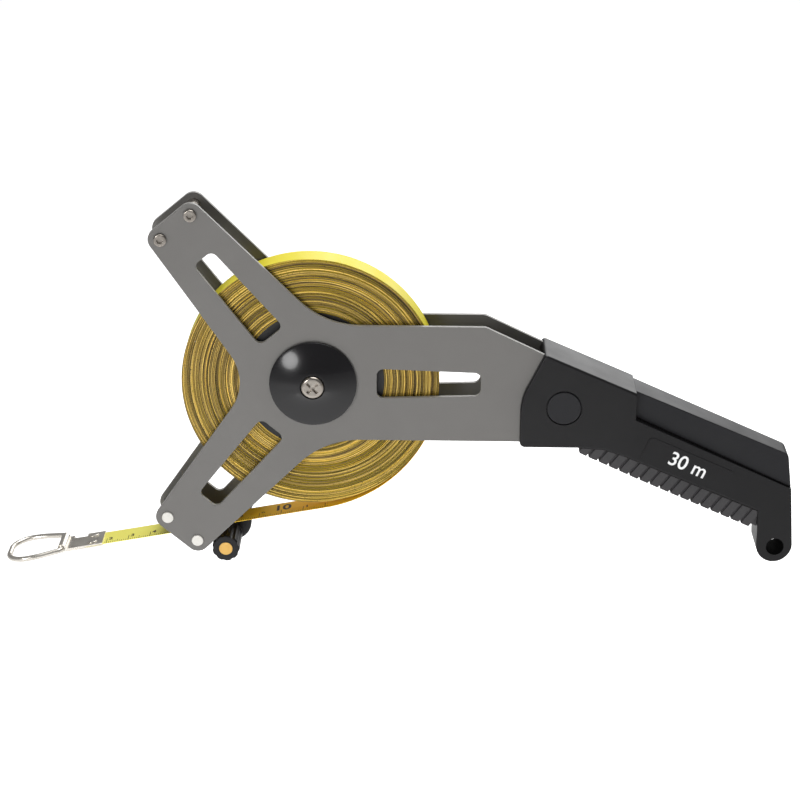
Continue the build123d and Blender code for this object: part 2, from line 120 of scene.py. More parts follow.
class Graph:
    """Short way to add nodes and links to a material or to a node group."""

    def __init__(self, tree: bpy.types.NodeTree) -> None:
        """Keeps the tree that the nodes go into."""
        self.tree = tree

    def node(self, kind: str, **values: object) -> bpy.types.Node:
        """Adds a node and sets its properties.

        Args:
            kind: the node's type, without the ShaderNode prefix.
            **values: properties of the node.

        Returns:
            The new node.
        """
        made = self.tree.nodes.new("ShaderNode" + kind)
        for name, value in values.items():
            setattr(made, name, value)
        return made

    def feed(self, node: bpy.types.Node, **inputs: object) -> bpy.types.Node:
        """Gives a node's inputs a value or a link.

        Args:
            node: the node to feed.
            **inputs: input names, with _ for a space, and a socket or a value for each.

        Returns:
            The same node.
        """
        for name, value in inputs.items():
            self.put(node.inputs[name.replace("_", " ")], value)
        return node

    def put(self, socket: bpy.types.NodeSocket, value: object) -> None:
        """Links a socket to another one, or sets its value.

        Args:
            socket: the input to fill.
            value: a socket to link from, or a plain value.
        """
        if isinstance(value, bpy.types.NodeSocket):
            self.tree.links.new(value, socket)
        else:
            socket.default_value = value

    def math(self, operation: str, first: object, second: object = 0.0) -> bpy.types.NodeSocket:
        """Adds a Math node on two sockets or numbers.

        Args:
            operation: what it works out.
            first: its first socket or number.
            second: its second socket or number.

        Returns:
            The socket with the result.
        """
        made = self.node("Math", operation=operation)
        self.put(made.inputs[0], first)
        self.put(made.inputs[1], second)
        return made.outputs[0]

    def mix(self, share: object, low: object, high: object) -> bpy.types.NodeSocket:
        """Mixes two colours.

        Args:
            share: how much of the second colour goes in, from 0 to 1.
            low: the first colour.
            high: the second colour.

        Returns:
            The socket with the mixed colour.
        """
        made = self.node("Mix", data_type="RGBA")
        self.put(made.inputs[0], share)
        self.put(made.inputs[6], low)
        self.put(made.inputs[7], high)
        return made.outputs[2]

    def remap(self, value: object, low: float, high: float, to_low: float,
              to_high: float) -> bpy.types.NodeSocket:
        """Moves a value from one range to another, and holds it inside that one.

        Args:
            value: the socket or number to move.
            low: start of the range that it comes from.
            high: end of the range that it comes from.
            to_low: start of the range that it goes to.
            to_high: end of the range that it goes to.

        Returns:
            The socket with the moved value.
        """
        made = self.node("MapRange")
        self.put(made.inputs[0], value)
        for index, number in enumerate((low, high, to_low, to_high), start=1):
            made.inputs[index].default_value = number
        return made.outputs[0]

    def noise(self, vector: bpy.types.NodeSocket, scale: float, detail: float = 2.0) -> bpy.types.NodeSocket:
        """Adds a noise texture.

        Args:
            vector: where on the pattern each point lies.
            scale: how fine the noise is.
            detail: how many finer layers it has.

        Returns:
            The socket with the noise's value.
        """
        made = self.node("TexNoise")
        self.feed(made, Vector=vector, Scale=scale, Detail=detail)
        return made.outputs[0]

    def stretched(self, scale: tuple[float, float, float]) -> bpy.types.NodeSocket:
        """Scales the object's own coordinates.

        Args:
            scale: the factor along each axis.

        Returns:
            The socket with the scaled coordinates.
        """
        mapping = self.node("Mapping")
        self.feed(mapping, Vector=self.node("TexCoord").outputs["Object"], Scale=scale)
        return mapping.outputs[0]


def new_group(effect: Effect, inputs: dict[str, float], outputs: tuple[str, ...]) -> tuple[Graph, dict]:
    """Starts a node group with number inputs and outputs.

    Args:
        effect: the effect the group is for.
        inputs: input names and their default values.
        outputs: output names.

    Returns:
        The group's graph, and its sockets by name.
    """
    tree = bpy.data.node_groups.new(effect.value, "ShaderNodeTree")
    for name, value in inputs.items():
        socket = tree.interface.new_socket(name, in_out="INPUT", socket_type="NodeSocketFloat")
        socket.default_value = value
    for name in outputs:
        tree.interface.new_socket(name, in_out="OUTPUT", socket_type="NodeSocketFloat")
    graph = Graph(tree)
    entry = tree.nodes.new("NodeGroupInput")
    leave = tree.nodes.new("NodeGroupOutput")
    sockets = {name: entry.outputs[name] for name in inputs}
    sockets.update({name: leave.inputs[name] for name in outputs})
    return graph, sockets


def grain_group() -> None:
    """Makes the fine and coarse grain of moulded or painted surfaces."""
    graph, at = new_group(Effect.GRAIN, {"Fine": 2500.0, "Coarse": 60.0}, ("Height", "Cloud"))
    place = graph.node("TexCoord").outputs["Object"]
    fine = graph.node("TexNoise")
    graph.feed(fine, Vector=place, Scale=at["Fine"], Detail=3.0)
    coarse = graph.node("TexNoise")
    graph.feed(coarse, Vector=place, Scale=at["Coarse"], Detail=4.0)
    graph.put(at["Height"], fine.outputs[0])
    graph.put(at["Cloud"], coarse.outputs[0])


def brush_group() -> None:
    """Makes fine streaks along X, as on drawn wire and pressed sheet."""
    graph, at = new_group(Effect.BRUSH, {"Strength": 1.0}, ("Height", "Cloud"))
    streak = graph.noise(graph.stretched((300.0, 4000.0, 4000.0)), 1.0, 3.0)
    graph.put(at["Height"], graph.math("MULTIPLY", streak, at["Strength"]))
    graph.put(at["Cloud"], graph.noise(graph.node("TexCoord").outputs["Object"], 180.0, 3.0))


def turns_group() -> None:
    """Makes the turn to turn shading, whose dark turns are painted shade for the gaps between turns, the
    print dots and the fading of a wound tape's edges.
    """
    graph, at = new_group(Effect.TURNS, {"Hub X": 0.0, "Hub Z": 0.0}, ("Turn", "Dots", "Wear"))
    split = graph.node("SeparateXYZ")
    graph.put(split.inputs[0], graph.node("TexCoord").outputs["Object"])
    across = graph.math("SUBTRACT", split.outputs[0], at["Hub X"])
    up = graph.math("SUBTRACT", split.outputs[2], at["Hub Z"])
    squares = graph.math("ADD", graph.math("MULTIPLY", across, across), graph.math("MULTIPLY", up, up))
    radius = graph.math("SQRT", squares)
    angle = graph.math("ARCTAN2", up, across)

    def polar(radial: float, around: float) -> bpy.types.NodeSocket:
        """Adds noise that follows the turns.

        Args:
            radial: its frequency per metre of radius.
            around: its frequency round the turn.

        Returns:
            The socket with the noise's value.
        """
        join = graph.node("CombineXYZ")
        graph.put(join.inputs[0], graph.math("MULTIPLY", radius, radial))
        graph.put(join.inputs[1], graph.math("MULTIPLY", graph.math("COSINE", angle), around))
        graph.put(join.inputs[2], graph.math("MULTIPLY", graph.math("SINE", angle), around))
        return graph.noise(join.outputs[0], 1.0, 2.0)

    graph.put(at["Turn"], polar(*TURN_LINES))
    graph.put(at["Dots"], polar(*TURN_DOTS))
    graph.put(at["Wear"], polar(*TURN_WEAR))


# ------------------------------------------------------------------ finishes
Color = tuple[float, float, float]


def rgba(color: Color) -> tuple[float, float, float, float]:
    """Returns a linear colour with full alpha."""
    return (*color, 1.0)


@dataclass(frozen=True)
class Finish:
    """A plain finish: grain in its colour, roughness and bump, and a painted highlight on the side walls of
    some.

    Attributes:
        name: the material's name.
        slot: the record's material slot.
        base: the main colour.
        tint: the colour of the cloudy variation.
        rough: lowest and highest roughness.
        metal: how metallic it is.
        fine: grains per metre of the bump.
        bump: depth of the grain in metres.
        coat: strength of the clear coat.
        effect: the group that gives the grain.
        edge: colour of the painted highlight on side walls, or none.
        specular: strength of the plain reflection.
    """

    name: str
    slot: str
    base: Color
    tint: Color
    rough: tuple[float, float] = (0.4, 0.5)
    metal: float = 0.0
    fine: float = 2500.0
    bump: float = 0.00002
    coat: float = 0.0
    effect: Effect = Effect.GRAIN
    edge: Color | None = None
    specular: float = 0.5

    def make(self) -> bpy.types.Material:
        """Returns the Blender material, made once."""
        found = bpy.data.materials.get(self.name)
        if found is not None:
            return found
        material = bpy.data.materials.new(self.name)
        material.use_nodes = True
        graph = Graph(material.node_tree)
        shader = material.node_tree.nodes["Principled BSDF"]
        group = graph.node("Group", node_tree=bpy.data.node_groups[self.effect.value])
        if self.effect is Effect.GRAIN:
            group.inputs["Fine"].default_value = self.fine
        cloud = graph.remap(group.outputs["Cloud"], *NOISE_SPAN, 0.0, 1.0)
        color = graph.mix(cloud, rgba(self.base), rgba(self.tint))
        # The edge colour is a painted highlight on the side walls.
        if self.edge is not None:
            color = self.lighten_walls(graph, color)
        rough = graph.remap(group.outputs["Cloud"], *NOISE_SPAN, *self.rough)
        bump = graph.node("Bump")
        graph.feed(bump, Height=group.outputs["Height"], Distance=self.bump, Strength=1.0)
        graph.feed(shader, Base_Color=color, Roughness=rough, Normal=bump.outputs[0], Metallic=self.metal)
        graph.feed(shader, Coat_Weight=self.coat, Coat_Roughness=0.08, Specular_IOR_Level=self.specular)
        return material

    def lighten_walls(self, graph: Graph, color: bpy.types.NodeSocket) -> bpy.types.NodeSocket:
        """Paints a highlight: turns a colour to the edge colour where the surface faces away from Y.

        Args:
            graph: the material's graph.
            color: the colour of the flat faces.

        Returns:
            The socket with the resulting colour.
        """
        split = graph.node("SeparateXYZ")
        graph.put(split.inputs[0], graph.node("TexCoord").outputs["Normal"])
        facing = graph.math("ABSOLUTE", split.outputs[1])
        return graph.mix(graph.remap(facing, *WALL_HIGHLIGHT_SPAN, 0.0, 1.0), color, rgba(self.edge))


@dataclass(frozen=True)
class WoundFinish:
    """Wound tape: bronze gold edges with dark and bright turns and print dots, and yellow lacquered faces.

    Attributes:
        name: the material's name.
        slot: the record's material slot.
        hub: X and Z of the spool's axis.
        dark: colour of the dark turns, which are painted shade for the gaps between turns, and of the dots.
        middle: colour of most turns.
        bright: colour of the bright turns.
        lacquer: colour of the faces that look away from Y.
        stops: noise values where the dark ends, the middle starts and ends, and the bright starts.
        wear_span: noise values where fading starts and is full.
        wear_share: how far full fading goes towards the middle colour.
        dot_span: noise values where a dot starts and is full.
        dot_share: how dark a full dot is.
        flat_span: how squarely a surface faces along Y where the lacquer ends and the edge starts.
        rough: lowest and highest roughness.
        specular: strength of the plain reflection.
    """

    name: str
    slot: str
    hub: tuple[float, float]
    dark: Color = (0.035, 0.020, 0.004)
    middle: Color = (0.225, 0.150, 0.026)
    bright: Color = (0.88, 0.60, 0.13)
    lacquer: Color = (0.92, 0.80, 0.05)
    stops: tuple[float, float, float, float] = (0.42, 0.47, 0.55, 0.61)
    wear_span: tuple[float, float] = (0.40, 0.75)
    wear_share: float = 0.3
    dot_span: tuple[float, float] = (0.64, 0.68)
    dot_share: float = 0.9
    flat_span: tuple[float, float] = (0.6, 0.8)
    rough: tuple[float, float] = (0.38, 0.55)
    specular: float = 0.3

    def make(self) -> bpy.types.Material:
        """Returns a new Blender material."""
        material = bpy.data.materials.new(self.name)
        material.use_nodes = True
        graph = Graph(material.node_tree)
        shader = material.node_tree.nodes["Principled BSDF"]
        group = graph.node("Group", node_tree=bpy.data.node_groups[Effect.TURNS.value])
        graph.feed(group, Hub_X=self.hub[0], Hub_Z=self.hub[1])
        ramp = graph.node("ValToRGB")
        colors = (self.dark, self.middle, self.middle, self.bright)
        while len(ramp.color_ramp.elements) < len(colors):
            ramp.color_ramp.elements.new(0.5)
        for element, place, color in zip(ramp.color_ramp.elements, self.stops, colors):
            element.position = place
            element.color = rgba(color)
        # The ramp's dark turns paint shade into the gaps between turns.
        graph.put(ramp.inputs[0], group.outputs["Turn"])
        worn = graph.remap(group.outputs["Wear"], *self.wear_span, 0.0, self.wear_share)
        faded = graph.mix(worn, ramp.outputs[0], rgba(self.middle))
        dots = graph.remap(group.outputs["Dots"], *self.dot_span, 0.0, self.dot_share)
        edges = graph.mix(dots, faded, rgba(self.dark))
        facing = graph.node("SeparateXYZ")
        graph.put(facing.inputs[0], graph.node("TexCoord").outputs["Normal"])
        flat = graph.remap(graph.math("ABSOLUTE", facing.outputs[1]), *self.flat_span, 0.0, 1.0)
        color = graph.mix(flat, rgba(self.lacquer), edges)
        rough = graph.remap(group.outputs["Wear"], *NOISE_SPAN, *self.rough)
        graph.feed(shader, Base_Color=color, Roughness=rough, Specular_IOR_Level=self.specular)
        return material


# The plates' light edge colour is a painted highlight on their side walls.
PAINT = Finish("satin_grey_paint", "painted_plate", (0.150, 0.145, 0.138), (0.158, 0.153, 0.146),
               (0.38, 0.42), fine=4200.0, bump=0.000006, edge=(0.33, 0.325, 0.31), specular=0.28)
GRIP_BLACK = Finish("moulded_black", "black_plastic", (0.0075, 0.0073, 0.0080), (0.0095, 0.0092, 0.0100),
                    (0.34, 0.42), fine=3200.0, bump=0.000010, specular=0.32)
BACK_BLACK = Finish("inset_black", "black_plastic", (0.0095, 0.0095, 0.0115), (0.0120, 0.0120, 0.014),
                    (0.38, 0.46), fine=2200.0, bump=0.000016, specular=0.35)
CORE_BLACK = Finish("dark_drum", "black_plastic", (0.008, 0.008, 0.009), (0.012, 0.012, 0.013),
                    (0.4, 0.55))
# Near-black matt sheet inside the lanyard hole: painted shade.
BORE_SHADE = Finish("painted_shade_bore", "black_plastic", (0.003, 0.003, 0.003), (0.004, 0.004, 0.004),
                    (0.85, 0.95), specular=0.04)
DOME_BLACK = Finish("polished_black", "gloss_black", (0.0040, 0.0036, 0.0044), (0.0050, 0.0045, 0.0055),
                    (0.16, 0.22), bump=0.000002, coat=0.35, specular=0.42)
RIB_RUBBER = Finish("ribbed_rubber", "ribbed_grip", (0.040, 0.039, 0.041), (0.052, 0.050, 0.052),
                    (0.6, 0.75), fine=2600.0, bump=0.00003)
CRANK_PAINT = Finish("crank_black_paint", "crank_paint", (0.012, 0.012, 0.013), (0.016, 0.016, 0.017),
                     (0.35, 0.45))
STEEL = Finish("screw_steel", "steel", (0.42, 0.38, 0.34), (0.52, 0.48, 0.43), (0.2, 0.32), 1.0,
               bump=0.000008, effect=Effect.BRUSH)
NICKEL = Finish("bright_nickel", "nickel", (0.78, 0.74, 0.67), (0.86, 0.82, 0.75), (0.26, 0.38), 0.92,
                bump=0.000005, effect=Effect.BRUSH)
RIVET = Finish("rivet_aluminium", "aluminium", (0.70, 0.68, 0.64), (0.80, 0.78, 0.73), (0.35, 0.5), 0.7,
               fine=1400.0, bump=0.00006)
BRASS = Finish("spindle_brass", "brass", (0.66, 0.39, 0.10), (0.76, 0.48, 0.15), (0.3, 0.45), 0.7,
               bump=0.00001)
NYLON = Finish("bushing_nylon", "nylon", (0.62, 0.61, 0.56), (0.68, 0.67, 0.62), (0.4, 0.5))
# The tongue and the run are one yellow tape: the tongue's brighter copy is painted light, and the run's
# darker amber copy is painted shade.
TAPE_LIT = Finish("lit_tape_lacquer", "yellow_tape", (0.97, 0.90, 0.16), (0.98, 0.93, 0.20), (0.3, 0.4),
                     fine=900.0, bump=0.000006)
TAPE_SHADED = Finish("shaded_tape_lacquer", "yellow_tape", (0.68, 0.38, 0.016), (0.80, 0.50, 0.022),
                    (0.34, 0.44), fine=900.0, bump=0.000006, specular=0.4)
INK = Finish("printing_ink", "yellow_tape", (0.018, 0.013, 0.008), (0.03, 0.02, 0.012), (0.4, 0.5))
LABEL_BLACK = Finish("label_film", "label", (0.0078, 0.0076, 0.0083), (0.0096, 0.0093, 0.0102),
                     (0.34, 0.40), bump=0.000004, specular=0.32)
LABEL_WHITE = Finish("label_print", "label", (0.86, 0.86, 0.86), (0.90, 0.90, 0.90), (0.4, 0.5),
                     bump=0.000004)


# ------------------------------------------------------------------ mesh helpers
def new_piece(name: str, mesh: bmesh.types.BMesh, finish: Finish | WoundFinish,
              body: str) -> bpy.types.Object:
    """Turns a bmesh into a piece with its finish, riding on a body.

    Args:
        name: the piece's name.
        mesh: the shape, which is freed.
        finish: what it is made of.
        body: the CAD body that it moves with.

    Returns:
        The new object.
    """
    data = bpy.data.meshes.new(name)
    mesh.to_mesh(data)
    mesh.free()
    piece = bpy.data.objects.new(name, data)
    bpy.context.scene.collection.objects.link(piece)
    data.materials.append(finish.make())
    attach(piece, body)
    LOG.info("made %s on %s", name, body)
    return piece


def smooth(piece: bpy.types.Object, angle: float = 32.0) -> bpy.types.Object:
    """Shades a piece smoothly, apart from its sharp edges, and keeps its flat faces flat.

    Args:
        piece: the piece to shade.
        angle: edges that turn by more than this many degrees stay sharp.

    Returns:
        The same piece.
    """
    piece.data.shade_smooth()
    piece.data.set_sharp_from_angle(angle=math.radians(angle))
    weighted = piece.modifiers.new("flat_faces", "WEIGHTED_NORMAL")
    weighted.keep_sharp = True
    weighted.weight = 100
    return piece


def merged_copy(node: bpy.types.Object) -> bmesh.types.BMesh:
    """Copies a CAD node's shape, with its loose triangles joined and its flat faces whole.

    Args:
        node: the CAD node.

    Returns:
        The copy.
    """
    mesh = bmesh.new()
    mesh.from_mesh(node.data)
    bmesh.ops.remove_doubles(mesh, verts=mesh.verts, dist=1e-6)
    flat = math.radians(0.3)
    bmesh.ops.dissolve_limit(mesh, angle_limit=flat, use_dissolve_boundaries=False, verts=mesh.verts,
                             edges=mesh.edges)
    return mesh


def round_edges(mesh: bmesh.types.BMesh, width: float, over: float = 35.0) -> None:
    """Rounds the sharp edges of a shape.

    Args:
        mesh: the shape.
        width: width of the rounding in metres.
        over: edges that turn by more than this many degrees are rounded.
    """
    limit = math.radians(over)
    sharp = [e for e in mesh.edges if len(e.link_faces) == 2 and e.calc_face_angle() > limit]
    bmesh.ops.bevel(mesh, geom=sharp, offset=width, offset_type="OFFSET", affect="EDGES", segments=2,
                    profile=0.5, material=-1, clamp_overlap=True)


@dataclass(frozen=True)
class Turn:
    """Section of one turn of tape: the radius of its middle, its thickness and its two edges along Y."""

    radius: float
    thick: float
    low: float
    high: float


def spun_turns(centre: Vector, turns: list[Turn], steps: int) -> bmesh.types.BMesh:
    """Spins the sections of turns of tape about the Y axis, all in one go.

    Args:
        centre: a point on the axis.
        turns: the sections.
        steps: how many straight stretches a turn has.

    Returns:
        The closed turns.
    """
    mesh = bmesh.new()
    for turn in turns:
        inner, outer = turn.radius - turn.thick / 2, turn.radius + turn.thick / 2
        corners = [(inner, turn.low), (outer, turn.low), (outer, turn.high), (inner, turn.high)]
        verts = [mesh.verts.new(centre + Vector((r, y, 0))) for r, y in corners]
        for index, vert in enumerate(verts):
            mesh.edges.new((vert, verts[(index + 1) % 4]))
    bmesh.ops.spin(mesh, geom=mesh.verts[:] + mesh.edges[:], cent=centre, axis=(0, 1, 0), angle=math.tau,
                   steps=steps, use_merge=True, use_normal_flip=False, use_duplicate=False)
    bmesh.ops.recalc_face_normals(mesh, faces=mesh.faces)
    return mesh


def text_mesh(words: str, height: float, thick: float, place: Matrix,
              bold: float = 0.012) -> bmesh.types.BMesh:
    """Makes words as a thin solid.

    Args:
        words: what it says.
        height: size of the letters.
        thick: thickness of the solid.
        place: where the letters' middle goes, with their plane as X and Y.
        bold: how far the strokes grow, as a share of the size.

    Returns:
        The shape.
    """
    curve = bpy.data.curves.new("words", "FONT")
    curve.body = words
    curve.size = height
    curve.align_x = "CENTER"
    curve.align_y = "CENTER"
    curve.extrude = thick / 2
    curve.offset = height * bold
    holder = bpy.data.objects.new("words", curve)
    bpy.context.scene.collection.objects.link(holder)
    bpy.context.view_layer.update()
    data = bpy.data.meshes.new_from_object(holder.evaluated_get(bpy.context.evaluated_depsgraph_get()))
    bpy.data.objects.remove(holder)
    mesh = bmesh.new()
    mesh.from_mesh(data)
    bmesh.ops.remove_doubles(mesh, verts=mesh.verts, dist=1e-7)
    bmesh.ops.transform(mesh, matrix=place, verts=mesh.verts)
    return mesh


def join_into(target: bmesh.types.BMesh, extra: bmesh.types.BMesh) -> None:
    """Moves one shape's faces into another shape.

    Args:
        target: the shape that they go into.
        extra: the shape that they come from, which is freed.
    """
    data = bpy.data.meshes.new("join")
    extra.to_mesh(data)
    extra.free()
    target.from_mesh(data)
    bpy.data.meshes.remove(data)


# ------------------------------------------------------------------ sub-assemblies
@dataclass
class SubAssembly:
    """Pieces that belong together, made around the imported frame's nodes."""

    nodes: dict[str, bpy.types.Object]

    def refine(self, node: str, finish: Finish, rounding: float = 0.0) -> bpy.types.Object:
        """Makes a finished piece of a node's own shape, with smooth shading and softened edges.

        Args:
            node: the CAD node's name.
            finish: what it is made of.
            rounding: width of the softened edges in metres, or 0 for none.

        Returns:
            The piece, which stands for the node.
        """
        source = self.nodes[node]
        mesh = merged_copy(source)
        if rounding > 0:
            round_edges(mesh, rounding)
        piece = new_piece(node + "_finish", mesh, finish, source["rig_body"])
        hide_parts(node)
        return smooth(piece)


@dataclass
class SidePlates(SubAssembly):
    """Both side plates, their bushings and what joins the arms."""

    edge: float = 0.30 * MM

    def build(self) -> None:
        """Makes the plates, bushings, screws, nuts, sleeves, rivets and rollers."""
        self.refine("front_side_plate", PAINT, self.edge)
        self.refine("rear_side_plate", PAINT, self.edge)
        for node in ("front_bushing", "rear_bushing"):
            self.refine(node, NYLON)
        for node in ("spacer_sleeves", "upper_screws", "upper_nuts"):
            self.refine(node, STEEL, 0.12 * MM)
        self.refine("roller_pins", RIVET, 0.12 * MM)
        for node in ("outer_roller", "inner_roller"):
            self.refine(node, CORE_BLACK, 0.3 * MM)


@dataclass
class Reel(SubAssembly):
    """Drum, wound tape, dome and crank."""

    hub: Vector
    turns: int = 62
    steps: int = 120
    fill: float = 0.97
    uneven: float = 0.7 * MM
    seed: int = 11

    def build(self) -> None:
        """Makes the drum, the winding turn by turn, the dome, its screw and the crank."""
        self.winding()
        self.refine("hub_drum", CORE_BLACK, 0.3 * MM)
        self.refine("axle", STEEL)
        self.refine("hub_cap", DOME_BLACK, 0.2 * MM)
        self.refine("cap_screw", STEEL, 0.1 * MM)
        self.refine("crank_nut", STEEL, 0.2 * MM)
        self.refine("crank_arm", CRANK_PAINT, 0.4 * MM)
        self.refine("crank_knuckle", GRIP_BLACK, 0.25 * MM)
        self.refine("fold_pin", STEEL, 0.1 * MM)
        self.refine("knob_stem", STEEL, 0.15 * MM)
        self.refine("knob_spindle", BRASS, 0.15 * MM)
        self.refine("crank_knob", GRIP_BLACK, 0.25 * MM)

    def winding(self) -> None:
        """Makes the wound tape as single turns whose edges stand in and out a little."""
        low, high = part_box("tape_winding")
        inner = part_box("hub_drum")[1].x - self.hub.x
        outer = high.x - self.hub.x
        pitch = (outer - inner) / self.turns
        dice = random.Random(self.seed)
        turns = []
        for index in range(self.turns):
            near, far = (dice.random() ** 2 * self.uneven for _ in range(2))
            radius = inner + pitch * (index + 0.5)
            turns.append(Turn(radius, pitch * self.fill, low.y + near, high.y - far))
        finish = WoundFinish("wound_edges", "wound_tape", (self.hub.x, self.hub.z))
        piece = new_piece("wound_tape", spun_turns(self.hub, turns, self.steps), finish, "spool")
        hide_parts("tape_winding")
        smooth(piece)


@dataclass
class FreeTape(SubAssembly):
    """Loose outer turns, the printed run, the sliding end, its clamp and its ring.

    A numeral's place is in millimetres, past its tick and across the tape.
    """

    hub: Vector
    slope: float = math.radians(10.6)
    tangent: float = 59.9 * MM
    thick: float = 0.25 * MM
    half: float = 6.5 * MM
    loose_centre: tuple[float, float] = (-1.3 * MM, -1.2 * MM)
    loose_count: int = 12
    loose_steps: int = 160
    loose_fill: float = 0.97
    loose_inset: float = 0.25 * MM
    outer_gap: float = 0.02 * MM
    inner_gap: float = 0.06 * MM
    slide_gap: float = 0.1 * MM
    clamp_end: float = 126.3 * MM
    last_number: int = 12
    numeral: float = 8.0 * MM
    numeral_place: tuple[float, float] = (0.4, 0.9)
    small_numeral: float = 3.7 * MM
    small_place: tuple[float, float] = (1.7, -1.9)
    numeral_bold: float = 0.028
    whole_tick: float = 5.2 * MM
    half_tick: float = 2.9 * MM
    small_tick: float = 1.7 * MM
    wide_tick: float = 0.26 * MM
    narrow_tick: float = 0.16 * MM
    ink: float = 0.02 * MM
    run_print: tuple[float, float] = (-4.0 * MM, 66.8 * MM)
    end_print: tuple[float, float] = (67.2 * MM, 107.5 * MM)

    def build(self) -> None:
        """Makes the tape's turns, run, print, clamp, rivets and ring."""
        self.loose_turns()
        # The run gets the painted shade copy of the tape's yellow and the tongue the painted light copy.
        self.refine("tape_run", TAPE_SHADED)
        self.refine("tape_tongue", TAPE_LIT)
        self.print_scale("run_scale", "frame", self.run_print, self.thick / 2)
        self.print_scale("end_scale", "tape_end", self.end_print, -self.thick / 2 - self.slide_gap)
        self.refine("end_clamp", NICKEL, 0.12 * MM)
        self.refine("clamp_rivets", NICKEL, 0.08 * MM)
        self.refine("end_ring", NICKEL)

    def along(self, distance: float, lift: float, across: float) -> Vector:
        """Finds a point on the free tape.

        Args:
            distance: how far along the tape it is.
            lift: how far above the middle of the run it is.
            across: how far across the tape it is.

        Returns:
            The point.
        """
        out = self.tangent - lift
        x = out * math.sin(self.slope) - distance * math.cos(self.slope)
        z = -out * math.cos(self.slope) - distance * math.sin(self.slope)
        return self.hub + Vector((x, across, z))

    def loose_turns(self) -> None:
        """Makes the slack outer turns, which part from the winding towards the lower left."""
        low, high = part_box("tape_loose_turns")
        outer = (high.x - low.x) / 2 - self.outer_gap
        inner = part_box("tape_winding")[1].x - self.hub.x + self.inner_gap
        pitch = (outer - inner) / self.loose_count
        turns = []
        for index in range(self.loose_count):
            inset = self.loose_inset * (index % 2)
            radius = inner + pitch * (index + 0.5)
            turns.append(Turn(radius, pitch * self.loose_fill, low.y + inset, high.y - inset))
        mesh = spun_turns(self.hub, turns, self.loose_steps)
        offset = Vector((self.loose_centre[0], 0, self.loose_centre[1]))
        for vert in mesh.verts:
            arm = vert.co - self.hub
            vert.co += offset * ((math.hypot(arm.x, arm.z) - inner) / (outer - inner))
        finish = WoundFinish("loose_edges", "wound_tape", (self.hub.x, self.hub.z))
        piece = new_piece("loose_turns", mesh, finish, "frame")
        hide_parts("tape_loose_turns")
        smooth(piece)

    def tick_size(self, tick: int) -> tuple[float, float]:
        """Returns the width and length of a tick, which is largest at whole centimetres."""
        if tick % 10 == 0:
            return self.wide_tick, self.whole_tick
        return self.narrow_tick, self.half_tick if tick % 5 == 0 else self.small_tick

    def print_scale(self, name: str, body: str, reach: tuple[float, float], lift: float) -> None:
        """Prints ticks and centimetre numbers on a stretch of the tape.

        Args:
            name: the piece's name.
            body: the body that the stretch rides on.
            reach: where the stretch starts and ends along the tape.
            lift: height of its face above the middle of the run.
        """
        mesh = bmesh.new()
        face = lift + self.ink / 2
        turn = Matrix.Rotation(-self.slope, 4, "Y")
        count = math.floor(self.clamp_end / MM)
        for tick in range(count):
            distance = self.clamp_end - tick * MM
            if not reach[0] <= distance <= reach[1]:
                continue
            width, length = self.tick_size(tick)
            place = Matrix.Translation(self.along(distance, face, -self.half + length / 2)) @ turn
            shape = Matrix.Diagonal((width, length, self.ink, 1.0))
            bmesh.ops.create_cube(mesh, size=1.0, matrix=place @ shape)
        for number in range(1, self.last_number + 1):
            whole = number % 10 == 0
            size = self.numeral if whole else self.small_numeral
            past, across = self.numeral_place if whole else self.small_place
            distance = self.clamp_end - (number * 10 + past) * MM
            if not reach[0] + size / 3 <= distance <= reach[1] - size / 3:
                continue
            words = str(number if whole else number % 10)
            place = Matrix.Translation(self.along(distance, face, across * MM)) @ turn
            join_into(mesh, text_mesh(words, size, self.ink, place, self.numeral_bold))
        new_piece(name, mesh, INK, body)


@dataclass
class Grip(SubAssembly):
    """Grip body, inset back, ribbed strip, caps, the plain length label and a painted shade sheet in the
    lanyard hole.
    """

    words: str = "30 m"
    letter: float = 9.0 * MM
    lanyard: Vector = field(default_factory=lambda: Vector((45.4, 0.0, -48.6)) * MM)
    lanyard_radius: float = 4.0 * MM
    lug_half: float = 8.3 * MM
    # Thickness of the painted shade sheet in the lanyard hole.
    lining: float = 0.05 * MM
    lining_steps: int = 48
    label_fall: float = math.radians(24.6)
    print_lift: float = 0.03 * MM
    print_thick: float = 0.04 * MM

    def build(self) -> None:
        """Makes the grip's pieces, the label's print and the painted shade sheet in the lanyard hole."""
        self.refine("grip_body", GRIP_BLACK, 0.35 * MM)
        self.refine("grip_back", BACK_BLACK, 0.45 * MM)
        self.refine("grip_strip", RIB_RUBBER, 0.35 * MM)
        self.refine("grip_caps", BACK_BLACK)
        self.refine("grip_bolt", STEEL)
        self.refine("grip_pin", STEEL)
        self.refine("length_label", LABEL_BLACK)
        self.label_print()
        self.lanyard_lining()

    def lanyard_lining(self) -> None:
        """Lines the lanyard hole with a thin matt black sheet, which is painted shade."""
        sleeve = Turn(self.lanyard_radius - self.lining / 2, self.lining, -self.lug_half, self.lug_half)
        mesh = spun_turns(self.lanyard, [sleeve], self.lining_steps)
        smooth(new_piece("lanyard_lining", mesh, BORE_SHADE, "frame"))

    def label_print(self) -> None:
        """Prints the tape's length on the label, square to its face."""
        node = self.nodes["length_label"].data
        outward = max(node.polygons, key=lambda p: p.area if p.normal.y < 0 else 0.0).normal.copy()
        points = [v.co for v in node.vertices]
        centre = sum(points, Vector()) / len(points)
        front = max(outward.dot(p) for p in points)
        centre += outward * (front - outward.dot(centre) + self.print_lift)
        along = Vector((math.cos(self.label_fall), 0, -math.sin(self.label_fall)))
        along = (along - outward * along.dot(outward)).normalized()
        axes = Matrix((along, outward.cross(along), outward)).transposed()
        place = Matrix.Translation(centre) @ axes.to_4x4()
        letters = text_mesh(self.words, self.letter, self.print_thick, place)
        new_piece("label_print", letters, LABEL_WHITE, "frame")


